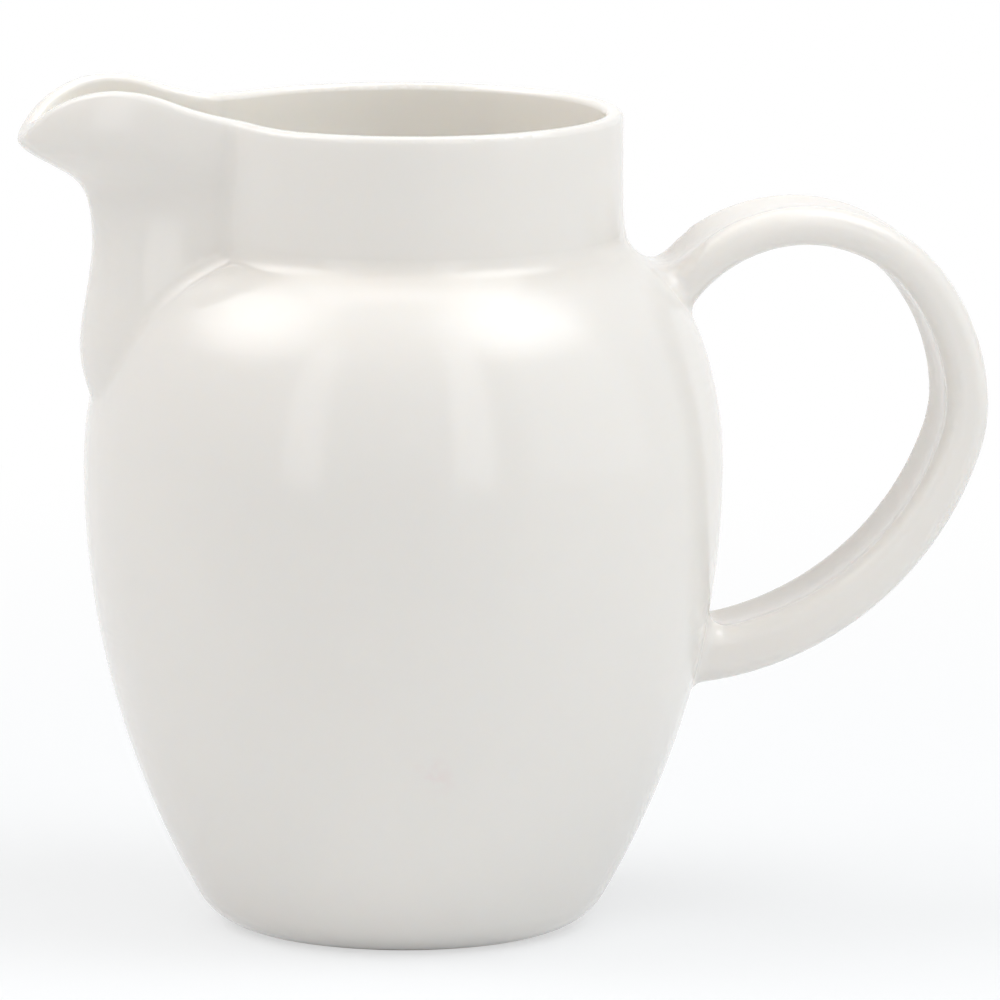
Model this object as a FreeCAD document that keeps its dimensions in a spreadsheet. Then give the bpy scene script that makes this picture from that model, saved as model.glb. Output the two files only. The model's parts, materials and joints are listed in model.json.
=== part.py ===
import FreeCAD, Part
import math
import os

import Sketcher
from FreeCAD import Vector

# A porcelain milk jug, slip cast and glazed in one piece. Millimetres, +Z up.
# The origin is the middle of the foot, on the plane that the jug stands on.
# The spout points along -X, the handle along +X, and Y = 0 is the mirror plane.

SIZES = (
    # name, millimetres or degrees, what it is
    ("wall", 2.6, "thickness of the porcelain"),
    ("rim_round", 1.0, "radius along both edges of the rim"),
    ("crease_round", 4.0, "hollow where the spout leaves the neck"),
    ("root_round", 2.5, "hollow where the handle leaves the body"),
    ("foot_radius", 22.8, "outer radius of the ring it stands on"),
    ("foot_width", 2.6, "width of that ring"),
    ("foot_recess", 1.8, "depth of the hollow inside the ring"),
    ("floor_height", 5.0, "inside floor above the standing plane"),
    ("floor_corner", 18.0, "radius between the inside floor and the side"),
    ("heel_height", 4.4, "where the heel meets the side"),
    ("side_arc", 124.0, "radius of the side below the belly"),
    ("belly_radius", 45.6, "widest radius"),
    ("belly_height", 66.2, "height of the widest radius"),
    ("shoulder_arc", 52.9, "radius of the side above the belly"),
    ("crown_height", 84.4, "where the shoulder turns in"),
    ("crown_arc", 26.1, "radius of the top of the shoulder"),
    ("cove_arc", 3.5, "hollow between shoulder and neck"),
    ("neck_radius", 31.0, "outer radius of the neck"),
    ("rim_height", 117.0, "top of the neck"),
    ("uncut_height", 125.5, "neck and spout before the rim is cut"),
    ("lip_lift", 49.0, "radius where the rim starts to rise to the lip"),
    ("lip_start", 18.0, "how far from the axis the rim starts to rise"),
    ("lip_hump", 19.4, "radius of the back of the lip"),
    ("lip_beak", 14.8, "radius of the front of the lip"),
    ("lip_peak", 42.2, "how far from the axis the lip is highest"),
    ("spout_back", 14.0, "where the spout's sections close, inside the neck"),
    ("spout_flank", 42.0, "radius of the spout's two sides"),
    ("strap_width", 17.0, "width of the handle"),
    ("strap_edge", 2.4, "radius of the handle's four long edges"),
    ("strap_groove", 30.0, "radius of the groove along each broad face"),
    ("root_thickness", 5.4, "handle where it springs from the shoulder"),
    ("crest_thickness", 5.5, "handle at its highest point"),
    ("grip_thickness", 6.0, "handle at its outermost point"),
    ("tail_thickness", 7.6, "handle where it meets the belly"),
    ("crest_x", 56.8, "centre of the handle's crest arc, out from the axis"),
    ("crest_z", 77.6, "centre of the handle's crest arc, above the foot"),
    ("crest_arc", 22.6, "radius of the handle over its crest"),
    ("bend_arc", 29.9, "radius of the handle past the crest"),
    ("turn_arc", 18.8, "radius of the handle at its outermost point"),
    ("tail_arc", 44.1, "radius of the handle down to the belly"),
    ("root_angle", 155.0, "where the crest arc starts, inside the shoulder"),
    ("bend_angle", 35.2, "where the crest arc ends"),
    ("turn_angle", 3.8, "where the bend arc ends"),
    ("tail_angle", 18.5, "where the turn arc ends, below level"),
)

# The spout's level sections, upwards: name, height, reach from the axis,
# radius of the nose, half of the width between the two sides.
OUTSIDE = (
    ("keel", 68.0, 42.6, 10.0, 11.0),
    ("notch", 75.0, 44.4, 11.0, 12.5),
    ("throat", 82.0, 46.3, 12.0, 14.0),
    ("shoulder", 89.0, 45.9, 12.5, 15.2),
    ("waist", 96.0, 44.8, 12.0, 15.6),
    ("flare", 102.5, 44.9, 10.8, 15.8),
    ("underlip", 107.0, 46.5, 9.0, 15.7),
    ("lip", 110.3, 51.4, 6.8, 15.6),
    ("beak", 113.2, 55.4, 5.3, 15.5),
    ("crest", 119.0, 55.4, 4.9, 15.5),
    ("stock", 125.5, 55.4, 4.9, 15.5),
)
INSIDE = (
    ("keel_in", 68.0, 39.4, 8.0, 8.6),
    ("notch_in", 75.0, 41.4, 8.4, 9.8),
    ("throat_in", 82.0, 43.6, 9.4, 11.4),
    ("shoulder_in", 89.0, 43.3, 9.9, 12.6),
    ("waist_in", 96.0, 42.3, 9.4, 13.0),
    ("flare_in", 103.0, 42.4, 8.2, 13.2),
    ("underlip_in", 108.4, 44.4, 6.6, 13.1),
    ("lip_in", 112.4, 49.4, 4.4, 13.0),
    ("beak_in", 115.4, 52.4, 3.4, 13.0),
    ("crest_in", 120.4, 52.9, 3.0, 13.0),
    ("stock_in", 125.5, 52.9, 3.0, 13.0),
)
STATION = ("height", "reach", "nose", "half")
SKIN = "0"  # inset of the outer outline
TOUCH = 0.01  # two shapes this near each other meet
CLEAR = 4.0  # how far a cut runs past the jug


def fill_sheet(document):
    """Put every driving size into the spreadsheet under its own alias."""
    sheet = document.addObject("Spreadsheet::Sheet", "Sizes")
    cells = list(SIZES)
    for station in OUTSIDE + INSIDE:
        for part_name, value in zip(STATION, station[1:]):
            cells.append((station[0] + "_" + part_name, value, "spout section"))
    for row, (name, value, note) in enumerate(cells, start=1):
        sheet.set("A%d" % row, name)
        sheet.set("B%d" % row, str(value))
        sheet.set("C%d" % row, note)
        sheet.setAlias("B%d" % row, name)
    document.recompute()
    return sheet


def size(expression):
    """Value of an expression over the sheet's aliases."""
    return float(sheet.evalExpression(expression))


def origin_plane(body, role):
    """One of the body's own origin planes or axes."""
    return next(f for f in body.Origin.OriginFeatures if f.Role == role)


def level_sketch(body, name, height=None):
    """Empty sketch on a level plane, at the height that an expression gives."""
    sketch = body.newObject("Sketcher::SketchObject", name)
    sketch.AttachmentSupport = [(origin_plane(body, "XY_Plane"), "")]
    sketch.MapMode = "FlatFace"
    if height:
        sketch.setExpression("AttachmentOffset.Base.z", height)
    return sketch


def side_sketch(body, name):
    """Empty sketch on the mirror plane, x outwards and y upwards."""
    sketch = body.newObject("Sketcher::SketchObject", name)
    sketch.AttachmentSupport = [(origin_plane(body, "XZ_Plane"), "")]
    sketch.MapMode = "FlatFace"
    return sketch


def line(sketch, start, end):
    """Add a straight edge and return its number."""
    return sketch.addGeometry(Part.LineSegment(Vector(*start, 0), Vector(*end, 0)))


def arc(sketch, centre, radius, start, end):
    """Add an anticlockwise arc between two angles in radians."""
    circle = Part.Circle(Vector(*centre, 0), Vector(0, 0, 1), radius)
    return sketch.addGeometry(Part.ArcOfCircle(circle, start, end))


def on_circle(centre, radius, angle):
    """Point of a circle at an angle in radians."""
    return (centre[0] + radius * math.cos(angle), centre[1] + radius * math.sin(angle))


def arc_through(start, normal_angle, end):
    """Radius of the arc that leaves a point square to its normal and ends at another point."""
    across = (start[0] - end[0], start[1] - end[1])
    along = across[0] * math.cos(normal_angle) + across[1] * math.sin(normal_angle)
    return (across[0] ** 2 + across[1] ** 2) / (2 * along)


def join(sketch, first, first_end, second, second_end, smooth=False):
    """Join two ends, in line where the edges flow into each other."""
    kind = "Tangent" if smooth else "Coincident"
    sketch.addConstraint(Sketcher.Constraint(kind, first, first_end, second, second_end))


def drive(sketch, kind, where, expression):
    """Add a dimension and bind it to the sheet."""
    constraint = Sketcher.Constraint(kind, *where, size(expression))
    number = sketch.addConstraint(constraint)
    sketch.setExpression("Constraints[%d]" % number, expression)


def fix(sketch, kind, *where):
    """Add a constraint that has no size."""
    sketch.addConstraint(Sketcher.Constraint(kind, *where))


def turned_outline(sketch, inset):
    """Half outline of the round body, from foot or floor to the top, moved in by an expression."""
    inner = inset != SKIN
    wall = size(inset)
    belly = (size("Sizes.belly_radius") - wall, size("Sizes.belly_height"))
    neck_x = size("Sizes.neck_radius") - wall
    top = size("Sizes.uncut_height")
    side_r = size("Sizes.side_arc") - wall
    shoulder_r = size("Sizes.shoulder_arc") - wall
    crown_r = size("Sizes.crown_arc") - wall
    cove_r = size("Sizes.cove_arc") + wall
    side_c = (belly[0] - side_r, belly[1])
    shoulder_c = (belly[0] - shoulder_r, belly[1])
    rise = size("Sizes.crown_height") - belly[1]
    crown_angle = math.asin(rise / size("Sizes.shoulder_arc"))
    crown_c = on_circle(shoulder_c, shoulder_r - crown_r, crown_angle)
    cove_angle = math.acos((neck_x + cove_r - crown_c[0]) / (crown_r + cove_r))
    cove_c = on_circle(crown_c, crown_r + cove_r, cove_angle)
    heel_angle = math.asin((size("Sizes.heel_height") - belly[1]) / side_r)
    if inner:
        base_z = size("Sizes.floor_height")
        heel_r = size("Sizes.floor_corner")
        heel_c = on_circle(side_c, side_r - heel_r, heel_angle)
        base_x = heel_c[0]
    else:
        base_z = 0.0
        base_x = size("Sizes.foot_radius")
        heel_top = on_circle(side_c, side_r, heel_angle)
        heel_r = arc_through(heel_top, heel_angle, (base_x, base_z))
        heel_c = on_circle(side_c, side_r - heel_r, heel_angle)
    heel_from = math.atan2(base_z - heel_c[1], base_x - heel_c[0]) if not inner else -math.pi / 2

    base = line(sketch, (0, base_z), (base_x, base_z))
    heel = arc(sketch, heel_c, heel_r, heel_from, heel_angle)
    side = arc(sketch, side_c, side_r, heel_angle, 0)
    shoulder = arc(sketch, shoulder_c, shoulder_r, 0, crown_angle)
    crown = arc(sketch, crown_c, crown_r, crown_angle, cove_angle)
    cove = arc(sketch, cove_c, cove_r, math.pi, math.pi + cove_angle)
    neck = line(sketch, (neck_x, cove_c[1]), (neck_x, top))
    lid = line(sketch, (neck_x, top), (0, top))
    axis = line(sketch, (0, top), (0, base_z))

    join(sketch, base, 2, heel, 1, smooth=inner)
    join(sketch, heel, 2, side, 1, smooth=True)
    join(sketch, side, 2, shoulder, 1, smooth=True)
    join(sketch, shoulder, 2, crown, 1, smooth=True)
    join(sketch, crown, 2, cove, 2, smooth=True)
    join(sketch, cove, 1, neck, 1, smooth=True)
    join(sketch, neck, 2, lid, 1)
    join(sketch, lid, 2, axis, 1)
    join(sketch, axis, 2, base, 1)
    fix(sketch, "Horizontal", base)
    fix(sketch, "Vertical", neck)
    fix(sketch, "Horizontal", lid)
    fix(sketch, "PointOnObject", base, 1, -2)
    fix(sketch, "PointOnObject", axis, 1, -2)
    fix(sketch, "Horizontal", side, 3, side, 2)

    drive(sketch, "DistanceX", (-1, 1, side, 2), "Sizes.belly_radius - " + inset)
    drive(sketch, "DistanceY", (-1, 1, side, 2), "Sizes.belly_height")
    drive(sketch, "Radius", (side,), "Sizes.side_arc - " + inset)
    drive(sketch, "Radius", (shoulder,), "Sizes.shoulder_arc - " + inset)
    drive(sketch, "Radius", (crown,), "Sizes.crown_arc - " + inset)
    drive(sketch, "Radius", (cove,), "Sizes.cove_arc + " + inset)
    drive(sketch, "DistanceX", (-1, 1, neck, 2), "Sizes.neck_radius - " + inset)
    drive(sketch, "DistanceY", (-1, 1, neck, 2), "Sizes.uncut_height")
    drive(
        sketch, "DistanceY", (shoulder, 3, shoulder, 2),
        "(Sizes.crown_height - Sizes.belly_height) * (1 - %s / Sizes.shoulder_arc)" % inset,
    )
    if inner:
        drive(sketch, "DistanceY", (-1, 1, base, 1), "Sizes.floor_height")
        drive(sketch, "Radius", (heel,), "Sizes.floor_corner")
    else:
        fix(sketch, "PointOnObject", base, 2, -1)
        drive(sketch, "DistanceX", (-1, 1, base, 2), "Sizes.foot_radius")
        drive(sketch, "DistanceY", (-1, 1, heel, 2), "Sizes.heel_height")


def spout_section(sketch, station):
    """One level section of the spout: rounded nose, bulging flanks, straight back."""
    reach = size("Sizes.%s_reach" % station)
    nose_r = size("Sizes.%s_nose" % station)
    half = size("Sizes.%s_half" % station)
    flank_r = size("Sizes.spout_flank")
    back = -size("Sizes.spout_back")
    nose_c = (nose_r - reach, 0.0)
    drop = flank_r - half
    run = math.sqrt((flank_r - nose_r) ** 2 - drop ** 2)
    flank_x = nose_c[0] + run
    turn = math.atan2(drop, run)

    nose = arc(sketch, nose_c, nose_r, math.pi - turn, math.pi + turn)
    near = arc(sketch, (flank_x, drop), flank_r, math.pi + turn, 1.5 * math.pi)
    far = arc(sketch, (flank_x, -drop), flank_r, math.pi / 2, math.pi - turn)
    near_side = line(sketch, (flank_x, -half), (back, -half))
    closing = line(sketch, (back, -half), (back, half))
    far_side = line(sketch, (back, half), (flank_x, half))

    join(sketch, nose, 2, near, 1, smooth=True)
    join(sketch, near, 2, near_side, 1, smooth=True)
    join(sketch, near_side, 2, closing, 1)
    join(sketch, closing, 2, far_side, 1)
    join(sketch, far_side, 2, far, 1, smooth=True)
    join(sketch, far, 2, nose, 1, smooth=True)
    fix(sketch, "Horizontal", near_side)
    fix(sketch, "Horizontal", far_side)
    fix(sketch, "Vertical", closing)
    fix(sketch, "PointOnObject", nose, 3, -1)
    fix(sketch, "Equal", near, far)

    drive(sketch, "Radius", (nose,), "Sizes.%s_nose" % station)
    drive(sketch, "Radius", (near,), "Sizes.spout_flank")
    nose_at = "Sizes.%s_reach - Sizes.%s_nose" % (station, station)
    drive(sketch, "DistanceX", (nose, 3, -1, 1), nose_at)
    drive(sketch, "DistanceX", (closing, 1, -1, 1), "Sizes.spout_back")
    drive(sketch, "DistanceY", (near_side, 2, -1, 1), "Sizes.%s_half" % station)
    drive(sketch, "DistanceY", (-1, 1, far_side, 1), "Sizes.%s_half" % station)


def spout_loft(body, kind, name, stations):
    """Loft the level sections into one spout, added or taken away."""
    sketches = []
    for station in stations:
        sketch = level_sketch(body, station[0], "Sizes.%s_height" % station[0])
        spout_section(sketch, station[0])
        sketches.append(sketch)
    doc.recompute()
    loft = body.newObject(kind, name)
    loft.Profile = sketches[0]
    loft.Sections = sketches[1:]
    doc.recompute()
    return loft


def strap_spine(sketch):
    """Middle line of the handle: four arcs that run into each other, root to tail."""
    radii = [size("Sizes.%s_arc" % name) for name in ("crest", "bend", "turn", "tail")]
    ends = [math.radians(size("Sizes.%s_angle" % name)) for name in ("root", "bend", "turn")]
    ends.append(-math.radians(size("Sizes.tail_angle")))
    ends.append(-math.pi / 2)
    centre = (size("Sizes.crest_x"), size("Sizes.crest_z"))
    arcs = []
    for number, radius in enumerate(radii):
        arcs.append(arc(sketch, centre, radius, ends[number + 1], ends[number]))
        if number < 3:
            centre = on_circle(centre, radius - radii[number + 1], ends[number + 1])
    for first, second in zip(arcs, arcs[1:]):
        join(sketch, first, 1, second, 2, smooth=True)
    for name, curve in zip(("crest", "bend", "turn", "tail"), arcs):
        drive(sketch, "Radius", (curve,), "Sizes.%s_arc" % name)
    crest, bend, turn, tail = arcs
    drive(sketch, "DistanceX", (-1, 1, crest, 3), "Sizes.crest_x")
    drive(sketch, "DistanceY", (-1, 1, crest, 3), "Sizes.crest_z")
    rise = "Sizes.%s_arc * sin(Sizes.%s_angle * 1deg)"
    drive(sketch, "DistanceY", (crest, 3, crest, 2), rise % ("crest", "root"))
    drive(sketch, "DistanceY", (crest, 3, crest, 1), rise % ("crest", "bend"))
    drive(sketch, "DistanceY", (bend, 3, bend, 1), rise % ("bend", "turn"))
    drive(sketch, "DistanceY", (turn, 1, turn, 3), rise % ("turn", "tail"))
    fix(sketch, "Vertical", tail, 3, tail, 1)


def strap_section(body, name, spine, edge, share, thickness):
    """Section at a share of one edge of the handle's spine, grooved on both broad faces."""
    sketch = body.newObject("Sketcher::SketchObject", name)
    sketch.AttachmentSupport = [(spine, edge)]
    sketch.MapMode = "NormalToEdge"
    sketch.setExpression("MapPathParameter", share)
    edge_r = size("Sizes.strap_edge")
    groove_r = size("Sizes.strap_groove")
    over = size("Sizes.strap_width") / 2 - edge_r
    up = size(thickness) / 2 - edge_r
    rise = math.sqrt((edge_r + groove_r) ** 2 - over ** 2)
    lean = math.atan2(over, rise)
    half_turn = math.pi / 2

    right_low = arc(sketch, (over, -up), edge_r, -half_turn - lean, 0)
    right_side = line(sketch, (over + edge_r, -up), (over + edge_r, up))
    right_top = arc(sketch, (over, up), edge_r, 0, half_turn + lean)
    outer = arc(sketch, (0, up + rise), groove_r, -half_turn - lean, -half_turn + lean)
    left_top = arc(sketch, (-over, up), edge_r, half_turn - lean, math.pi)
    left_side = line(sketch, (-over - edge_r, up), (-over - edge_r, -up))
    left_low = arc(sketch, (-over, -up), edge_r, math.pi, 3 * half_turn + lean)
    inner = arc(sketch, (0, -up - rise), groove_r, half_turn - lean, half_turn + lean)

    join(sketch, right_low, 2, right_side, 1, smooth=True)
    join(sketch, right_side, 2, right_top, 1, smooth=True)
    join(sketch, right_top, 2, outer, 2, smooth=True)
    join(sketch, outer, 1, left_top, 1, smooth=True)
    join(sketch, left_top, 2, left_side, 1, smooth=True)
    join(sketch, left_side, 2, left_low, 1, smooth=True)
    join(sketch, left_low, 2, inner, 2, smooth=True)
    join(sketch, inner, 1, right_low, 1, smooth=True)
    for corner in (right_top, left_top, left_low):
        fix(sketch, "Equal", right_low, corner)
    fix(sketch, "Equal", outer, inner)
    drive(sketch, "Radius", (right_low,), "Sizes.strap_edge")
    drive(sketch, "Radius", (outer,), "Sizes.strap_groove")
    across = "Sizes.strap_width / 2 - Sizes.strap_edge"
    along = thickness + " / 2 - Sizes.strap_edge"
    for corner in (right_low, right_top):
        drive(sketch, "DistanceX", (-1, 1, corner, 3), across)
    for corner in (left_low, left_top):
        drive(sketch, "DistanceX", (corner, 3, -1, 1), across)
    for corner in (right_top, left_top):
        drive(sketch, "DistanceY", (-1, 1, corner, 3), along)
    for corner in (right_low, left_low):
        drive(sketch, "DistanceY", (corner, 3, -1, 1), along)
    return sketch


def lip_outline(sketch):
    """What is cut away above the rim: level over the neck, then up and over the lip."""
    lift_r = size("Sizes.lip_lift")
    hump_r = size("Sizes.lip_hump")
    beak_r = size("Sizes.lip_beak")
    rim = size("Sizes.rim_height")
    start = -size("Sizes.lip_start")
    peak = -size("Sizes.lip_peak")
    clear = size("Sizes.uncut_height") + CLEAR
    far = size("Sizes.belly_radius") + CLEAR
    swing = math.asin((start - peak) / (lift_r + hump_r))
    up = math.pi / 2
    lift_c = (start, rim + lift_r)
    hump_c = on_circle(lift_c, lift_r + hump_r, -up - swing)
    beak_c = (peak, hump_c[1] + hump_r - beak_r)
    end = (peak - beak_r, beak_c[1])

    level = line(sketch, (far, rim), (start, rim))
    lift = arc(sketch, lift_c, lift_r, -up - swing, -up)
    hump = arc(sketch, hump_c, hump_r, up - swing, up)
    beak = arc(sketch, beak_c, beak_r, up, math.pi)
    front = line(sketch, end, (end[0], clear))
    top = line(sketch, (end[0], clear), (far, clear))
    rear = line(sketch, (far, clear), (far, rim))

    join(sketch, level, 2, lift, 2, smooth=True)
    join(sketch, lift, 1, hump, 1, smooth=True)
    join(sketch, hump, 2, beak, 1, smooth=True)
    join(sketch, beak, 2, front, 1, smooth=True)
    join(sketch, front, 2, top, 1)
    join(sketch, top, 2, rear, 1)
    join(sketch, rear, 2, level, 1)
    fix(sketch, "Horizontal", level)
    fix(sketch, "Horizontal", top)
    fix(sketch, "Vertical", front)
    fix(sketch, "Vertical", rear)
    drive(sketch, "DistanceY", (-1, 1, level, 2), "Sizes.rim_height")
    drive(sketch, "DistanceX", (level, 2, -1, 1), "Sizes.lip_start")
    drive(sketch, "DistanceX", (hump, 3, -1, 1), "Sizes.lip_peak")
    drive(sketch, "DistanceX", (beak, 3, -1, 1), "Sizes.lip_peak")
    drive(sketch, "Radius", (lift,), "Sizes.lip_lift")
    drive(sketch, "Radius", (hump,), "Sizes.lip_hump")
    drive(sketch, "Radius", (beak,), "Sizes.lip_beak")
    drive(sketch, "DistanceX", (-1, 1, rear, 1), "Sizes.belly_radius + %g" % CLEAR)
    drive(sketch, "DistanceY", (-1, 1, rear, 1), "Sizes.uncut_height + %g" % CLEAR)


def foot_outline(sketch):
    """Half outline of the hollow inside the foot ring."""
    mouth = "Sizes.foot_radius - Sizes.foot_width"
    across = size(mouth)
    depth = size("Sizes.foot_recess")
    corners = [(0, 0), (across, 0), (across - depth, depth), (0, depth)]
    edges = [line(sketch, a, b) for a, b in zip(corners, corners[1:] + corners[:1])]
    for first, second in zip(edges, edges[1:] + edges[:1]):
        join(sketch, first, 2, second, 1)
    fix(sketch, "Coincident", edges[0], 1, -1, 1)
    fix(sketch, "Horizontal", edges[0])
    fix(sketch, "Horizontal", edges[2])
    fix(sketch, "Vertical", edges[3])
    drive(sketch, "DistanceX", (-1, 1, edges[0], 2), mouth)
    drive(sketch, "DistanceX", (-1, 1, edges[1], 2), mouth + " - Sizes.foot_recess")
    drive(sketch, "DistanceY", (-1, 1, edges[1], 2), "Sizes.foot_recess")


def seam_edges(before, after, ceiling=math.inf):
    """Names of the edges, below a ceiling, where a feature meets the skin it changes."""
    skin = Part.Compound(before.Faces)
    wires = Part.Compound(before.Edges)
    names = []
    for number, edge in enumerate(after.Edges, start=1):
        middle = edge.valueAt((edge.FirstParameter + edge.LastParameter) / 2)
        point = Part.Vertex(middle)
        if middle.z > ceiling - TOUCH:
            continue
        if point.distToShape(skin)[0] < TOUCH and point.distToShape(wires)[0] > TOUCH:
            names.append("Edge%d" % number)
    return names


def rounded(body, name, feature, edges, radius):
    """Fillet edges of a feature with a radius from the sheet."""
    fillet = body.newObject("PartDesign::Fillet", name)
    fillet.Base = (feature, edges)
    fillet.setExpression("Radius", radius)
    doc.recompute()
    return fillet


def check(document):
    """Stop at any object that could not be computed."""
    for item in document.Objects:
        if "Invalid" in item.State or "Error" in item.State:
            raise RuntimeError("%s is not computed: %s" % (item.Name, item.State))


doc = FreeCAD.newDocument("MilkJug")
sheet = fill_sheet(doc)

jug = doc.addObject("PartDesign::Body", "Jug")
jug.Label = "jug"

turned_sketch = side_sketch(jug, "TurnedOutline")
turned_outline(turned_sketch, SKIN)
doc.recompute()
turned = jug.newObject("PartDesign::Revolution", "TurnedBody")
turned.Profile = turned_sketch
turned.ReferenceAxis = (turned_sketch, ["V_Axis"])
turned.Angle = 360
doc.recompute()

spout = spout_loft(jug, "PartDesign::AdditiveLoft", "Spout", OUTSIDE)
check(doc)

spout_seam = seam_edges(turned.Shape, spout.Shape)
crease = rounded(jug, "Crease", spout, spout_seam, "Sizes.crease_round")

spine = side_sketch(jug, "HandleSpine")
strap_spine(spine)
doc.recompute()
crest_share = "(90 - Sizes.bend_angle) / (Sizes.root_angle - Sizes.bend_angle)"
sections = [
    strap_section(jug, "HandleTail", spine, "Edge1", "0", "Sizes.tail_thickness"),
    strap_section(jug, "HandleGrip", spine, "Edge2", "1", "Sizes.grip_thickness"),
    strap_section(jug, "HandleCrest", spine, "Edge4", crest_share, "Sizes.crest_thickness"),
    strap_section(jug, "HandleRoot", spine, "Edge4", "1", "Sizes.root_thickness"),
]
doc.recompute()
check(doc)
handle = jug.newObject("PartDesign::AdditivePipe", "Handle")
handle.Profile = sections[0]
handle.Spine = (spine, ["Edge1", "Edge2", "Edge3", "Edge4"])
handle.Transformation = "Multisection"
handle.Sections = sections[1:]
doc.recompute()
check(doc)
handle_seam = seam_edges(crease.Shape, handle.Shape)
roots = rounded(jug, "Roots", handle, handle_seam, "Sizes.root_round")

cavity_sketch = side_sketch(jug, "CavityOutline")
turned_outline(cavity_sketch, "Sizes.wall")
doc.recompute()
cavity = jug.newObject("PartDesign::Groove", "Cavity")
cavity.Profile = cavity_sketch
cavity.ReferenceAxis = (cavity_sketch, ["V_Axis"])
cavity.Angle = 360
doc.recompute()

channel = spout_loft(jug, "PartDesign::SubtractiveLoft", "SpoutChannel", INSIDE)
channel_seam = seam_edges(cavity.Shape, channel.Shape, size("Sizes.uncut_height"))
inner_crease = rounded(jug, "InnerCrease", channel, channel_seam, "Sizes.crease_round")

lip_sketch = side_sketch(jug, "LipOutline")
lip_outline(lip_sketch)
doc.recompute()
lip_cut = jug.newObject("PartDesign::Pocket", "LipCut")
lip_cut.Profile = lip_sketch
lip_cut.Type = "ThroughAll"
lip_cut.Midplane = True
doc.recompute()

rim_seam = seam_edges(inner_crease.Shape, lip_cut.Shape)
rim = rounded(jug, "Rim", lip_cut, rim_seam, "Sizes.rim_round")

foot_sketch = side_sketch(jug, "FootOutline")
foot_outline(foot_sketch)
doc.recompute()
foot = jug.newObject("PartDesign::Groove", "FootRecess")
foot.Profile = foot_sketch
foot.ReferenceAxis = (foot_sketch, ["V_Axis"])
foot.Angle = 360
doc.recompute()

check(doc)
if jug.Shape.isNull() or not jug.Shape.isValid() or len(jug.Shape.Solids) != 1:
    raise RuntimeError("the jug is not one valid solid")

os.makedirs("parts", exist_ok=True)
jug.Shape.exportStep("parts/%s.step" % jug.Label)
print("%s: %.1f cm3" % (jug.Label, jug.Shape.Volume / 1000))
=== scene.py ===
"""A glazed porcelain milk jug, body, spout and handle in one piece, standing on a pale studio floor."""

import json
import logging
import math
from dataclasses import dataclass, field
from enum import Enum
from typing import Any

import bmesh
import bpy
from mathutils import Matrix, Vector

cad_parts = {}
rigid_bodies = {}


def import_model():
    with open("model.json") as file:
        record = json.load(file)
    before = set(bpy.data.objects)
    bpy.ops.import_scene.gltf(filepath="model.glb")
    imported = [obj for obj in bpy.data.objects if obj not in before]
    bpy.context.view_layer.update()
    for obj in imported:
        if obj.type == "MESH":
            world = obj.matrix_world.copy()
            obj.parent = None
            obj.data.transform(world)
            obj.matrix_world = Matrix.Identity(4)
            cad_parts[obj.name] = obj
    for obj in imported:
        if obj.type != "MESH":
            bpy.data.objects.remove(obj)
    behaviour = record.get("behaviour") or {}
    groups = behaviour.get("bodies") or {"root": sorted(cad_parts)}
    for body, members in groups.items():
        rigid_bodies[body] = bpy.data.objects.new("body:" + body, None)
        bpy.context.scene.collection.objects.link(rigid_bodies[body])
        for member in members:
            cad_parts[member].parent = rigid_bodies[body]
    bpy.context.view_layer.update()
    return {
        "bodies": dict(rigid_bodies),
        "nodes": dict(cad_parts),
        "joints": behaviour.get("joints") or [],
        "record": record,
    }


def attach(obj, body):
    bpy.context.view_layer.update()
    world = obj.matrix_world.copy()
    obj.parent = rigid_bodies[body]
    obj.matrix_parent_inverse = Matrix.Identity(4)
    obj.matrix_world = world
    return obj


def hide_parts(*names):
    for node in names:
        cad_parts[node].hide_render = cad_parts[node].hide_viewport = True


LOG = logging.getLogger("milk_jug")

# How far a lamp's glow reaches across its cloth, and how much brighter its middle is for the same light.
SOFT_EDGE = 0.56
SOFT_GAIN = 2.9
# A colour Mix node's first and second colour inputs, and its colour output.
MIX_FIRST = 6
MIX_SECOND = 7
MIX_RESULT = 2
# The middle of a lamp's cloth in its own coordinates, and the directions that lie level.
CLOTH_MIDDLE = (0.5, 0.5, 0.0)
LEVEL = (1.0, 1.0, 0.0)
# A bump height is given in metres, so it is not scaled again.
BUMP_SCALE = 1.0
TRIANGLE_CORNERS = 3

Color = tuple[float, float, float, float]
Place = tuple[float, float, float]


class JugFace(Enum):
    """The two kinds of surface on the jug, in the order of its material slots."""

    GLAZED = 0
    BARE = 1


# ---------------------------------------------------------------- node helpers


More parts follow.
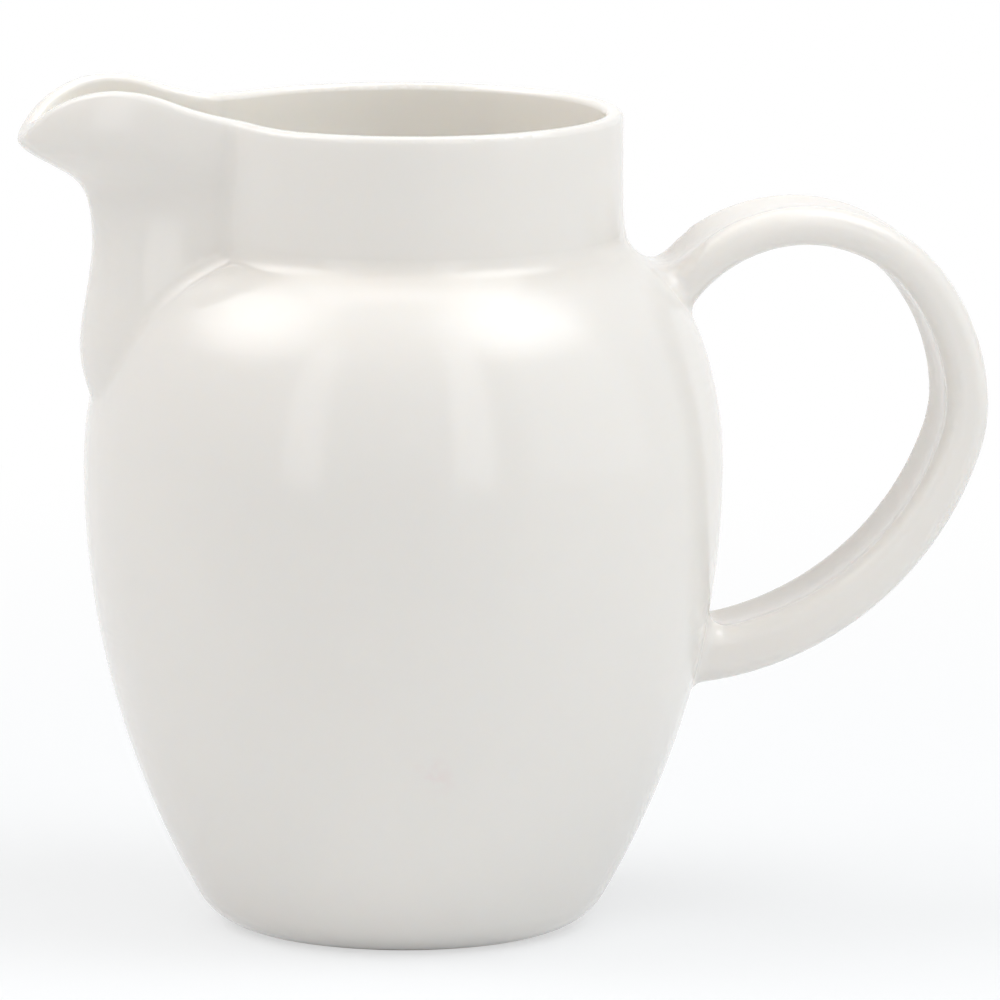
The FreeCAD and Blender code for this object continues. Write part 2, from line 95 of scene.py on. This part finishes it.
@dataclass
class NodeSheet:
    """A node tree with short calls for adding and wiring its nodes."""

    tree: bpy.types.NodeTree

    def add(self, kind: str, label: str, **settings: Any) -> bpy.types.Node:
        """Add a node.

        Args:
            kind: The node's Blender type.
            label: The name shown on the node.
            settings: Properties to set on it.

        Returns:
            The new node.
        """
        node = self.tree.nodes.new(kind)
        node.label = label
        for name, value in settings.items():
            setattr(node, name, value)
        return node

    def wire(self, source: bpy.types.NodeSocket, target: bpy.types.NodeSocket) -> None:
        """Join one socket to another."""
        self.tree.links.new(source, target)

    def feed(self, target: bpy.types.NodeSocket, value: Any) -> None:
        """Give a socket a plain value, or a wire from another socket.

        Args:
            target: The socket to fill.
            value: A number, a colour or another node's output.
        """
        if isinstance(value, bpy.types.NodeSocket):
            self.wire(value, target)
        else:
            target.default_value = value

    def math(self, operation: str, label: str, *values: Any, clamp: bool = False) -> bpy.types.NodeSocket:
        """Add a Math node.

        Args:
            operation: The Math node's operation.
            label: The name shown on the node.
            values: Numbers or sockets for its inputs.
            clamp: Whether the result is held between 0 and 1.

        Returns:
            The result's socket.
        """
        node = self.add("ShaderNodeMath", label, operation=operation, use_clamp=clamp)
        for socket, value in zip(node.inputs, values):
            self.feed(socket, value)
        return node.outputs["Value"]

    def fade(self, value: Any, start: float, end: float, label: str) -> bpy.types.NodeSocket:
        """Turn a value into a soft mask that is 0 at start and 1 at end.

        Args:
            value: The socket to read.
            start: The value at which the mask is 0.
            end: The value at which the mask is 1.
            label: The name shown on the node.

        Returns:
            The mask's socket.
        """
        node = self.add("ShaderNodeMapRange", label, interpolation_type="SMOOTHSTEP", clamp=True)
        self.feed(node.inputs["Value"], value)
        node.inputs["From Min"].default_value = start
        node.inputs["From Max"].default_value = end
        return node.outputs["Result"]

    def mix(self, amount: Any, first: Any, second: Any, label: str) -> bpy.types.NodeSocket:
        """Mix two colours.

        Args:
            amount: How much of the second colour shows.
            first: The colour at 0.
            second: The colour at 1.
            label: The name shown on the node.

        Returns:
            The mixed colour's socket.
        """
        node = self.add("ShaderNodeMix", label, data_type="RGBA")
        self.feed(node.inputs["Factor"], amount)
        self.feed(node.inputs[MIX_FIRST], first)
        self.feed(node.inputs[MIX_SECOND], second)
        return node.outputs[MIX_RESULT]

    def noise(self, place: Any, scale: float, detail: float, label: str) -> bpy.types.NodeSocket:
        """Add a noise pattern.

        Args:
            place: The coordinates to read.
            scale: Pattern repeats for each metre.
            detail: How many finer layers it has.
            label: The name shown on the node.

        Returns:
            The pattern's value socket.
        """
        node = self.add("ShaderNodeTexNoise", label)
        self.feed(node.inputs["Vector"], place)
        node.inputs["Scale"].default_value = scale
        node.inputs["Detail"].default_value = detail
        return node.outputs["Fac"]

    def bump(self, height: bpy.types.NodeSocket, label: str) -> bpy.types.NodeSocket:
        """Turn a height in metres into a bumped normal.

        Args:
            height: The height's socket.
            label: The name shown on the node.

        Returns:
            The normal's socket.
        """
        node = self.add("ShaderNodeBump", label)
        self.wire(height, node.inputs["Height"])
        node.inputs["Distance"].default_value = BUMP_SCALE
        return node.outputs["Normal"]

    def shown(self) -> bpy.types.NodeSocket:
        """Mark the rays that show a background: straight, mirrored or through glass.

        Returns:
            The mark's socket.
        """
        rays = self.add("ShaderNodeLightPath", "seen by").outputs
        seen = self.math("MAXIMUM", "seen or mirrored", rays["Is Camera Ray"], rays["Is Glossy Ray"])
        return self.math("MAXIMUM", "or through glass", seen, rays["Is Transmission Ray"])


def new_group(name: str, inputs: dict[str, str], outputs: dict[str, str]) -> NodeSheet:
    """Start a shader node group.

    Args:
        name: The group's name.
        inputs: Socket type for each input's name.
        outputs: Socket type for each output's name.

    Returns:
        The group's empty sheet.
    """
    tree = bpy.data.node_groups.new(name, "ShaderNodeTree")
    for label, kind in inputs.items():
        tree.interface.new_socket(name=label, in_out="INPUT", socket_type=kind)
    for label, kind in outputs.items():
        tree.interface.new_socket(name=label, in_out="OUTPUT", socket_type=kind)
    return NodeSheet(tree)


def new_material(name: str) -> tuple[bpy.types.Material, NodeSheet]:
    """Start a material.

    Args:
        name: The material's name.

    Returns:
        The material and its sheet, which holds a Principled shader and the output.
    """
    material = bpy.data.materials.new(name)
    material.use_nodes = True
    return material, NodeSheet(material.node_tree)


def new_object(name: str, data: bpy.types.ID) -> bpy.types.Object:
    """Put new data into the scene as an object.

    Args:
        name: The object's name.
        data: Its mesh, light or camera.

    Returns:
        The object, at the origin.
    """
    item = bpy.data.objects.new(name, data)
    bpy.context.scene.collection.objects.link(item)
    return item


# ------------------------------------------------------------------- finishes


@dataclass(frozen=True)
class PaintedShadeRing:
    """A darker ring of painted shade along a fold round the jug's axis; sizes in metres."""

    radius: float
    height: float
    reach: float


@dataclass(frozen=True)
class Blush:
    """A faint rosy mark left in the firing; sizes in metres."""

    place: Place = (-0.0015, -0.0385, 0.0285)
    reach: float = 0.0045
    ragged_scale: float = 420.0
    ragged_detail: float = 2.0
    ragged_edges: tuple[float, float] = (0.4, 0.65)
    color: Color = (0.82, 0.745, 0.72, 1.0)

    def mask(self, sheet: NodeSheet, place: bpy.types.NodeSocket) -> bpy.types.NodeSocket:
        """Mark the blush.

        Args:
            sheet: The material's sheet.
            place: The object coordinates.

        Returns:
            The mask's socket.
        """
        away = sheet.add("ShaderNodeVectorMath", "from the blush", operation="DISTANCE")
        sheet.wire(place, away.inputs[0])
        away.inputs[1].default_value = self.place
        near = sheet.fade(away.outputs["Value"], self.reach, 0.0, "near the blush")
        ragged = sheet.noise(place, self.ragged_scale, self.ragged_detail, "ragged")
        return sheet.math("MULTIPLY", "blush", near, sheet.fade(ragged, *self.ragged_edges, "broken up"))


@dataclass(frozen=True)
class GlazeMottle:
    """The slow drift of colour that a clear glaze has over white clay."""

    name: str = "glaze_mottle"
    cloud_scale: float = 26.0
    cloud_detail: float = 2.0
    cloud_edges: tuple[float, float] = (0.3, 0.7)
    grain_scale: float = 900.0
    grain_detail: float = 1.0
    speck_scale: float = 170.0
    speck_size: float = 0.05
    speck_floor: float = 0.975

    def build(self) -> bpy.types.NodeTree:
        """Build the group.

        Returns:
            A group that puts out the clouds, the fine grain and the specks as masks.
        """
        sheet = new_group(
            self.name,
            {"Vector": "NodeSocketVector"},
            {"Clouds": "NodeSocketFloat", "Grain": "NodeSocketFloat", "Specks": "NodeSocketFloat"},
        )
        start = sheet.add("NodeGroupInput", "place")
        end = sheet.add("NodeGroupOutput", "masks")
        place = start.outputs["Vector"]
        clouds = sheet.noise(place, self.cloud_scale, self.cloud_detail, "clouds")
        sheet.wire(sheet.fade(clouds, *self.cloud_edges, "soft clouds"), end.inputs["Clouds"])
        grain = sheet.noise(place, self.grain_scale, self.grain_detail, "grain")
        sheet.wire(grain, end.inputs["Grain"])
        specks = sheet.add("ShaderNodeTexVoronoi", "specks", feature="F1")
        sheet.wire(place, specks.inputs["Vector"])
        specks.inputs["Scale"].default_value = self.speck_scale
        near = sheet.fade(specks.outputs["Distance"], self.speck_size, 0.0, "near a speck")
        chosen = sheet.add("ShaderNodeSeparateColor", "one in many")
        sheet.wire(specks.outputs["Color"], chosen.inputs["Color"])
        rare = sheet.math("GREATER_THAN", "rare", chosen.outputs["Red"], self.speck_floor)
        sheet.wire(sheet.math("MULTIPLY", "rare specks", near, rare), end.inputs["Specks"])
        return sheet.tree


@dataclass(frozen=True)
class HollowMask:
    """Where a surface is inside the jug, from its place and the way it faces; it carries the light painted
    inside the jug. Sizes in metres.
    """

    name: str = "hollow_mask"
    outward: float = 0.15
    inward: float = -0.35
    neck_reach: float = 0.0305
    belly_reach: float = 0.0458
    belly_height: float = 0.066
    belly_rise: float = 0.046
    floor_top: float = 0.05
    floor_low: float = 0.03
    floor_slope: float = 0.3
    floor_flat: float = 0.9

    def build(self) -> bpy.types.NodeTree:
        """Build the group.

        Returns:
            A group that puts out 1 on the inside and 0 on the outside.
        """
        sheet = new_group(
            self.name,
            {"Vector": "NodeSocketVector", "Facing": "NodeSocketVector"},
            {"Inside": "NodeSocketFloat"},
        )
        start = sheet.add("NodeGroupInput", "place and facing")
        end = sheet.add("NodeGroupOutput", "inside")
        level = sheet.add("ShaderNodeVectorMath", "level", operation="MULTIPLY")
        sheet.wire(start.outputs["Vector"], level.inputs[0])
        level.inputs[1].default_value = LEVEL
        reach = sheet.add("ShaderNodeVectorMath", "reach", operation="LENGTH")
        sheet.wire(level.outputs["Vector"], reach.inputs[0])
        radial = sheet.add("ShaderNodeVectorMath", "radial", operation="NORMALIZE")
        sheet.wire(level.outputs["Vector"], radial.inputs[0])
        facing = sheet.add("ShaderNodeVectorMath", "faces out", operation="DOT_PRODUCT")
        sheet.wire(radial.outputs["Vector"], facing.inputs[0])
        sheet.wire(start.outputs["Facing"], facing.inputs[1])
        wall = sheet.fade(facing.outputs["Value"], self.outward, self.inward, "faces in")
        parts = sheet.add("ShaderNodeSeparateXYZ", "parts of place")
        sheet.wire(start.outputs["Vector"], parts.inputs["Vector"])
        ways = sheet.add("ShaderNodeSeparateXYZ", "parts of facing")
        sheet.wire(start.outputs["Facing"], ways.inputs["Vector"])
        neck = sheet.math("LESS_THAN", "within the neck", reach.outputs["Value"], self.neck_reach)
        wide = sheet.math("DIVIDE", "part of the belly's reach", reach.outputs["Value"], self.belly_reach)
        above = sheet.math("SUBTRACT", "above the belly", parts.outputs["Z"], self.belly_height)
        upward = sheet.math("MAXIMUM", "upward", above, 0.0)
        tall = sheet.math("DIVIDE", "part of the belly's rise", upward, self.belly_rise)
        rise = sheet.math("MULTIPLY", "rise squared", tall, tall)
        oval = sheet.math("MULTIPLY_ADD", "belly oval", wide, wide, rise)
        belly = sheet.math("LESS_THAN", "within the belly", oval, 1.0)
        near = sheet.math("MAXIMUM", "within the wall", neck, belly)
        spout = sheet.math("LESS_THAN", "on the spout side", parts.outputs["X"], 0.0)
        held = sheet.math("MULTIPLY", "inner wall", wall, sheet.math("MAXIMUM", "jug side", near, spout))
        flat = sheet.fade(ways.outputs["Z"], self.floor_slope, self.floor_flat, "faces up")
        deep = sheet.fade(parts.outputs["Z"], self.floor_top, self.floor_low, "deep down")
        low = sheet.math("MULTIPLY", "inner floor", sheet.math("MULTIPLY", "deep and flat", flat, deep), near)
        sheet.wire(sheet.math("MAXIMUM", "inside", held, low), end.inputs["Inside"])
        return sheet.tree


@dataclass(frozen=True)
class GlazeRipple:
    """The faint unevenness of a fired glaze, as a height in metres."""

    name: str = "glaze_ripple"
    swell_scale: float = 38.0
    swell_detail: float = 0.0
    swell_height: float = 0.00011
    skin_scale: float = 420.0
    skin_detail: float = 1.0
    skin_height: float = 0.0000022

    def build(self) -> bpy.types.NodeTree:
        """Build the group.

        Returns:
            A group that puts out the glaze's height.
        """
        sheet = new_group(self.name, {"Vector": "NodeSocketVector"}, {"Height": "NodeSocketFloat"})
        start = sheet.add("NodeGroupInput", "place")
        end = sheet.add("NodeGroupOutput", "height")
        place = start.outputs["Vector"]
        swell = sheet.noise(place, self.swell_scale, self.swell_detail, "swell")
        skin = sheet.noise(place, self.skin_scale, self.skin_detail, "skin")
        tall = sheet.math("MULTIPLY", "swell height", swell, self.swell_height)
        fine = sheet.math("MULTIPLY", "skin height", skin, self.skin_height)
        sheet.wire(sheet.math("ADD", "both", tall, fine), end.inputs["Height"])
        return sheet.tree


@dataclass(frozen=True)
class Glaze:
    """A clear, softly glossy glaze on warm white porcelain."""

    name: str = "porcelain_glaze"
    body_color: Color = (0.832, 0.801, 0.760, 1.0)
    cloud_color: Color = (0.820, 0.792, 0.754, 1.0)
    # Painted shade: a darker, warmer colour laid along the fold where the neck meets the shoulder.
    fold_shade_color: Color = (0.805, 0.770, 0.722, 1.0)
    # Painted light: the inside is coloured brighter and warmer than the body, standing in for the light
    # inside the jug.
    painted_inside_light_color: Color = (0.950, 0.908, 0.850, 1.0)
    speck_color: Color = (0.42, 0.33, 0.25, 1.0)
    roughness: float = 0.08
    rough_drift: float = 0.03
    ior: float = 1.5
    depth_share: float = 0.35
    depth: float = 0.004
    depth_tint: tuple[float, float, float] = (1.0, 0.85, 0.70)
    shade_rings: tuple[PaintedShadeRing, ...] = ()
    blush: Blush = Blush()

    def material(
        self, mottle: bpy.types.NodeTree, hollow: bpy.types.NodeTree, ripple: bpy.types.NodeTree
    ) -> bpy.types.Material:
        """Build the glaze's material.

        Args:
            mottle: The group with the colour masks.
            hollow: The group that marks the inside.
            ripple: The group with the glaze's height.

        Returns:
            The finished material.
        """
        material, sheet = new_material(self.name)
        shader = material.node_tree.nodes["Principled BSDF"]
        coordinates = sheet.add("ShaderNodeTexCoord", "place")
        place = coordinates.outputs["Object"]
        masks = sheet.add("ShaderNodeGroup", "mottle", node_tree=mottle)
        sheet.wire(place, masks.inputs["Vector"])
        inner = sheet.add("ShaderNodeGroup", "hollow", node_tree=hollow)
        sheet.wire(place, inner.inputs["Vector"])
        sheet.wire(coordinates.outputs["Normal"], inner.inputs["Facing"])
        clouded = sheet.mix(masks.outputs["Clouds"], self.body_color, self.cloud_color, "clouded")
        # Painted light: where the inside mask holds, the colour turns brighter and warmer.
        lit_inside = sheet.mix(inner.outputs["Inside"], clouded, self.painted_inside_light_color, "lit_inside")
        # Painted shade: the colour darkens near the fold rings.
        fold_shaded = sheet.mix(self.fold_shading(sheet, place), lit_inside, self.fold_shade_color, "fold_shaded")
        blushed = sheet.mix(self.blush.mask(sheet, place), fold_shaded, self.blush.color, "blushed")
        specked = sheet.mix(masks.outputs["Specks"], blushed, self.speck_color, "specked")
        sheet.wire(specked, shader.inputs["Base Color"])
        drift = sheet.math("MULTIPLY_ADD", "drift", masks.outputs["Clouds"], self.rough_drift, self.roughness)
        sheet.wire(drift, shader.inputs["Roughness"])
        shader.inputs["IOR"].default_value = self.ior
        shader.inputs["Subsurface Weight"].default_value = self.depth_share
        shader.inputs["Subsurface Scale"].default_value = self.depth
        shader.inputs["Subsurface Radius"].default_value = self.depth_tint
        heights = sheet.add("ShaderNodeGroup", "ripple height", node_tree=ripple)
        sheet.wire(place, heights.inputs["Vector"])
        sheet.wire(sheet.bump(heights.outputs["Height"], "ripple"), shader.inputs["Normal"])
        return material

    def fold_shading(self, sheet: NodeSheet, place: bpy.types.NodeSocket) -> Any:
        """Mark the painted shade along the fold rings.

        Args:
            sheet: The material's sheet.
            place: The object coordinates.

        Returns:
            The mask's socket, or 0 when there are no rings.
        """
        if not self.shade_rings:
            return 0.0
        parts = sheet.add("ShaderNodeSeparateXYZ", "parts of place")
        sheet.wire(place, parts.inputs["Vector"])
        east = sheet.math("MULTIPLY", "x squared", parts.outputs["X"], parts.outputs["X"])
        both = sheet.math("MULTIPLY_ADD", "plus y squared", parts.outputs["Y"], parts.outputs["Y"], east)
        reach = sheet.math("SQRT", "from the axis", both)
        mask: Any = 0.0
        # Each ring adds painted shade that fades with distance from the fold.
        for shade_ring in self.shade_rings:
            out = sheet.math("SUBTRACT", "out", reach, shade_ring.radius)
            up = sheet.math("SUBTRACT", "up", parts.outputs["Z"], shade_ring.height)
            flat = sheet.math("MULTIPLY", "out squared", out, out)
            away = sheet.math("SQRT", "away", sheet.math("MULTIPLY_ADD", "sum", up, up, flat))
            near = sheet.fade(away, shade_ring.reach, 0.0, "near the ring")
            mask = near if mask == 0.0 else sheet.math("MAXIMUM", "any ring", mask, near)
        return mask


@dataclass(frozen=True)
class BareClay:
    """The dry, unglazed clay on which the foot ring stands."""

    name: str = "bare_clay"
    color: Color = (0.70, 0.66, 0.60, 1.0)
    worn_color: Color = (0.56, 0.52, 0.47, 1.0)
    roughness: float = 0.85
    grain_height: float = 0.00004

    def material(self, mottle: bpy.types.NodeTree) -> bpy.types.Material:
        """Build the clay's material.

        Args:
            mottle: The group with the colour masks.

        Returns:
            The finished material.
        """
        material, sheet = new_material(self.name)
        shader = material.node_tree.nodes["Principled BSDF"]
        place = sheet.add("ShaderNodeTexCoord", "place").outputs["Object"]
        masks = sheet.add("ShaderNodeGroup", "mottle", node_tree=mottle)
        sheet.wire(place, masks.inputs["Vector"])
        worn = sheet.mix(masks.outputs["Grain"], self.color, self.worn_color, "worn")
        sheet.wire(worn, shader.inputs["Base Color"])
        shader.inputs["Roughness"].default_value = self.roughness
        rise = sheet.math("MULTIPLY", "grain height", masks.outputs["Grain"], self.grain_height)
        sheet.wire(sheet.bump(rise, "grain"), shader.inputs["Normal"])
        return material


@dataclass(frozen=True)
class StudioPaper:
    """Seamless white paper that keeps a soft shadow."""

    name: str = "white_paper"
    color: Color = (0.86, 0.88, 0.90, 1.0)
    grain_color: Color = (0.845, 0.865, 0.885, 1.0)
    grain_scale: float = 300.0
    grain_detail: float = 2.0
    near_share: float = 0.60
    near_edge: float = 0.09
    far_edge: float = 0.40

    def material(self) -> bpy.types.Material:
        """Build the paper's material, which looks evenly white outside the shadow.

        Returns:
            The finished material.
        """
        material, sheet = new_material(self.name)
        nodes = material.node_tree.nodes
        nodes.remove(nodes["Principled BSDF"])
        place = sheet.add("ShaderNodeTexCoord", "place").outputs["Object"]
        grain = sheet.noise(place, self.grain_scale, self.grain_detail, "paper grain")
        paper = sheet.add("ShaderNodeBsdfDiffuse", "paper")
        sheet.wire(sheet.mix(grain, self.color, self.grain_color, "paper color"), paper.inputs["Color"])
        white = sheet.add("ShaderNodeEmission", "white")
        away = sheet.add("ShaderNodeVectorMath", "from the jug", operation="LENGTH")
        sheet.wire(place, away.inputs[0])
        far = sheet.fade(away.outputs["Value"], self.near_edge, self.far_edge, "away from the jug")
        white_share = sheet.math("MULTIPLY_ADD", "whiter away", far, 1.0 - self.near_share, self.near_share)
        share = sheet.math("MULTIPLY", "share of white", sheet.shown(), white_share)
        blend = sheet.add("ShaderNodeMixShader", "paper and white")
        sheet.wire(share, blend.inputs["Fac"])
        sheet.wire(paper.outputs["BSDF"], blend.inputs[1])
        sheet.wire(white.outputs["Emission"], blend.inputs[2])
        sheet.wire(blend.outputs["Shader"], nodes["Material Output"].inputs["Surface"])
        return material


# -------------------------------------------------------------- sub-assemblies


@dataclass(frozen=True)
class SoftSpot:
    """A place where the glaze fills a corner and rounds it; sizes in metres."""

    place: Place
    reach: float
    finest: float
    rounds: int
    rings: tuple[float, ...] = (1.0, 0.88, 0.76, 0.64, 0.52)
    split_passes: int = 2
    give: float = 0.5

    def verts(
        self, skin: bmesh.types.BMesh, least_reach: float, share: float = 1.0
    ) -> list[bmesh.types.BMVert]:
        """Find the spot's vertices on the outside of the jug.

        Args:
            skin: The merged skin.
            least_reach: The distance from the axis beyond which the surface is the outer one.
            share: How much of the spot's reach counts.

        Returns:
            The vertices within reach.
        """
        middle = Vector(self.place)
        near = [vert for vert in skin.verts if (vert.co - middle).length < self.reach * share]
        return [vert for vert in near if vert.co.xy.length > least_reach]

    def soften(self, skin: bmesh.types.BMesh, least_reach: float) -> None:
        """Even out the mesh at the spot, then relax it until the corner fills.

        Args:
            skin: The merged skin.
            least_reach: The distance from the axis beyond which the surface is the outer one.
        """
        for _ in range(self.split_passes):
            inside = set(self.verts(skin, least_reach))
            held = [edge for edge in skin.edges if edge.verts[0] in inside and edge.verts[1] in inside]
            long = [edge for edge in held if edge.calc_length() > self.finest]
            bmesh.ops.subdivide_edges(skin, edges=long, cuts=1)
            split = {face for edge in long if edge.is_valid for face in edge.link_faces}
            wide = [face for face in skin.faces if len(face.verts) > TRIANGLE_CORNERS]
            bmesh.ops.triangulate(skin, faces=list({*wide, *split}))
        for share in self.rings:
            ring = self.verts(skin, least_reach, share)
            for _ in range(self.rounds):
                bmesh.ops.smooth_vert(
                    skin, verts=ring, factor=self.give, use_axis_x=True, use_axis_y=True, use_axis_z=True
                )


@dataclass
class MilkJug:
    """The jug: one skin of glaze over the cast body, bare only where the foot ring stands.

    Sizes are in metres.
    """

    node: str = "jug"
    name: str = "jug_skin"
    merge_gap: float = 0.000002
    bare_height: float = 0.00045
    crisp_angle: float = 50.0
    normal_weight: int = 50
    outer_reach: float = 0.0300
    soft_spots: tuple[SoftSpot, ...] = (SoftSpot((0.0330, 0.0, 0.0985), 0.0115, 0.0009, 16),)
    # A ring of painted shade along the fold between the neck and the shoulder.
    shade_rings: tuple[PaintedShadeRing, ...] = (PaintedShadeRing(0.0318, 0.0968, 0.0045),)

    def build(self, cad: bpy.types.Object) -> bpy.types.Object:
        """Make the jug's skin from the cast shape.

        Args:
            cad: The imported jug.

        Returns:
            The finished skin.
        """
        skin = bmesh.new()
        skin.from_mesh(cad.data)
        bmesh.ops.remove_doubles(skin, verts=skin.verts, dist=self.merge_gap)
        bmesh.ops.dissolve_degenerate(skin, dist=self.merge_gap, edges=skin.edges)
        for spot in self.soft_spots:
            spot.soften(skin, self.outer_reach)
        self.bare_foot(skin)
        for face in skin.faces:
            face.smooth = True
        mesh = bpy.data.meshes.new(self.name)
        skin.to_mesh(mesh)
        skin.free()
        mesh.set_sharp_from_angle(angle=math.radians(self.crisp_angle))
        jug = new_object(self.name, mesh)
        even = jug.modifiers.new("even_shading", "WEIGHTED_NORMAL")
        even.keep_sharp = True
        even.weight = self.normal_weight
        return jug

    def bare_foot(self, skin: bmesh.types.BMesh) -> None:
        """Cut the skin just above the floor and mark the faces below as bare clay.

        Args:
            skin: The merged skin.
        """
        parts = [*skin.verts, *skin.edges, *skin.faces]
        level = Vector((0.0, 0.0, self.bare_height))
        up = Vector((0.0, 0.0, 1.0))
        bmesh.ops.bisect_plane(skin, geom=parts, dist=self.merge_gap, plane_co=level, plane_no=up)
        for face in skin.faces:
            low = face.calc_center_median().z < self.bare_height
            face.material_index = (JugFace.BARE if low else JugFace.GLAZED).value

    def dress(self, jug: bpy.types.Object) -> None:
        """Give the skin its glaze and its bare clay.

        Args:
            jug: The skin.
        """
        mottle = GlazeMottle().build()
        glaze = Glaze(shade_rings=self.shade_rings)
        jug.data.materials.append(glaze.material(mottle, HollowMask().build(), GlazeRipple().build()))
        jug.data.materials.append(BareClay().material(mottle))

    def place(self, frame: dict[str, Any]) -> bpy.types.Object:
        """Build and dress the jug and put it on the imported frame.

        Args:
            frame: What the frame loader returned.

        Returns:
            The finished jug.
        """
        jug = self.build(frame["nodes"][self.node])
        self.dress(jug)
        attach(jug, "root")
        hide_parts(self.node)
        return jug


@dataclass(frozen=True)
class Softbox:
    """A flat rectangular light that faces a point; lengths in metres."""

    name: str
    place: Place
    aim: Place
    width: float
    height: float
    brightness: float
    color: tuple[float, float, float] = (1.0, 1.0, 1.0)
    soft_edge: bool = False

    def soften(self, data: bpy.types.AreaLight) -> None:
        """Make the light brightest at its middle, as a lamp behind cloth is.

        Args:
            data: The light's data.
        """
        data.use_nodes = True
        sheet = NodeSheet(data.node_tree)
        glow = data.node_tree.nodes["Emission"]
        across = sheet.add("ShaderNodeNewGeometry", "across the cloth").outputs["Parametric"]
        away = sheet.add("ShaderNodeVectorMath", "from the middle", operation="DISTANCE")
        sheet.wire(across, away.inputs[0])
        away.inputs[1].default_value = CLOTH_MIDDLE
        level = sheet.fade(away.outputs["Value"], SOFT_EDGE, 0.0, "soft edge")
        sheet.wire(sheet.math("MULTIPLY", "level", level, SOFT_GAIN), glow.inputs["Strength"])

    def hang(self) -> bpy.types.Object:
        """Hang the light.

        Returns:
            The light object.
        """
        data = bpy.data.lights.new(self.name, "AREA")
        data.shape = "RECTANGLE"
        data.size = self.width
        data.size_y = self.height
        data.energy = self.brightness * math.pi * self.width * self.height
        data.color = self.color
        if self.soft_edge:
            self.soften(data)
        lamp = new_object(self.name, data)
        facing = Vector(self.aim) - Vector(self.place)
        turn = facing.to_track_quat("-Z", "Y").to_matrix().to_4x4()
        lamp.matrix_world = Matrix.Translation(self.place) @ turn
        return lamp


@dataclass(frozen=True)
class StudioCamera:
    """The camera, placed round the jug's axis; lengths in metres, angles in degrees."""

    distance: float = 1.5
    height: float = 0.3133
    turn: float = 9.0
    tilt: float = 9.553
    pan: float = 0.527
    roll: float = -0.386
    lens: float = 383.77
    sensor: float = 36.0
    sight: float = 20.0

    def place(self) -> bpy.types.Object:
        """Create the camera and make it the scene's own.

        Returns:
            The camera object.
        """
        data = bpy.data.cameras.new("studio_camera")
        data.sensor_width = self.sensor
        data.lens = self.lens
        data.clip_end = self.sight
        camera = new_object("studio_camera", data)
        turn = math.radians(self.turn)
        stand = Vector((-math.sin(turn) * self.distance, -math.cos(turn) * self.distance, self.height))
        heading = Matrix.Rotation(-math.radians(self.turn + self.pan), 4, "Z")
        tilt = Matrix.Rotation(math.radians(90.0 - self.tilt), 4, "X")
        roll = Matrix.Rotation(-math.radians(self.roll), 4, "Z")
        camera.matrix_world = Matrix.Translation(stand) @ heading @ tilt @ roll
        bpy.context.scene.camera = camera
        return camera


@dataclass
class Studio:
    """A white tent: paper floor, two flaps beside the camera, a side wall, two soft lamps and a roof."""

    floor_size: float = 8.0
    sky_level: float = 0.29
    softboxes: tuple[Softbox, ...] = field(
        default_factory=lambda: (
            Softbox("left_flap", (-0.81, -0.815, 0.78), (0.0, 0.0, 0.78), 0.30, 1.50, 1.1),
            Softbox("right_flap", (0.32, -1.105, 0.78), (0.0, 0.0, 0.78), 0.30, 1.50, 1.2),
            Softbox("right_wall", (0.86, -0.46, 0.72), (0.0, 0.0, 0.72), 0.90, 1.40, 0.50, (0.92, 0.97, 1.0)),
            Softbox(
                "left_lamp", (-0.85, 0.07, 1.10), (0.0, 0.0, 0.06), 1.70, 1.30, 1.38,
                color=(1.0, 0.985, 0.97), soft_edge=True,
            ),
            Softbox(
                "right_lamp", (0.62, -0.34, 1.20), (0.0, 0.0, 0.06), 1.60, 1.30, 1.48,
                color=(0.975, 0.99, 1.0), soft_edge=True,
            ),
            Softbox("roof", (0.10, 0.35, 1.50), (0.10, 0.35, 0.0), 1.20, 0.90, 1.0),
        )
    )

    def floor(self) -> bpy.types.Object:
        """Lay the paper floor.

        Returns:
            The floor.
        """
        sheet = bmesh.new()
        bmesh.ops.create_grid(sheet, x_segments=1, y_segments=1, size=self.floor_size / 2)
        mesh = bpy.data.meshes.new("studio_floor")
        sheet.to_mesh(mesh)
        sheet.free()
        mesh.materials.append(StudioPaper().material())
        floor = new_object("studio_floor", mesh)
        return floor

    def sky(self) -> bpy.types.World:
        """Fill the space round the tent with even light, white where it is looked at or mirrored.

        Returns:
            The world.
        """
        world = bpy.data.worlds.new("studio_air")
        bpy.context.scene.world = world
        world.use_nodes = True
        sheet = NodeSheet(world.node_tree)
        back = world.node_tree.nodes["Background"]
        back.inputs["Color"].default_value = (1.0, 1.0, 1.0, 1.0)
        level = sheet.math("MULTIPLY_ADD", "level", sheet.shown(), 1.0 - self.sky_level, self.sky_level)
        sheet.wire(level, back.inputs["Strength"])
        return world

    def build(self) -> None:
        """Lay the floor, set the air's light and hang every softbox."""
        self.floor()
        self.sky()
        for softbox in self.softboxes:
            softbox.hang()


def main() -> None:
    """Build the jug on its frame, then the studio round it."""
    logging.basicConfig(level=logging.INFO, format="%(name)s: %(message)s")
    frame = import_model()
    bpy.context.scene.view_settings.view_transform = "Standard"
    jug = MilkJug().place(frame)
    LOG.info("%s: %d faces", jug.name, len(jug.data.polygons))
    Studio().build()
    StudioCamera().place()


if __name__ == "__main__":
    main()
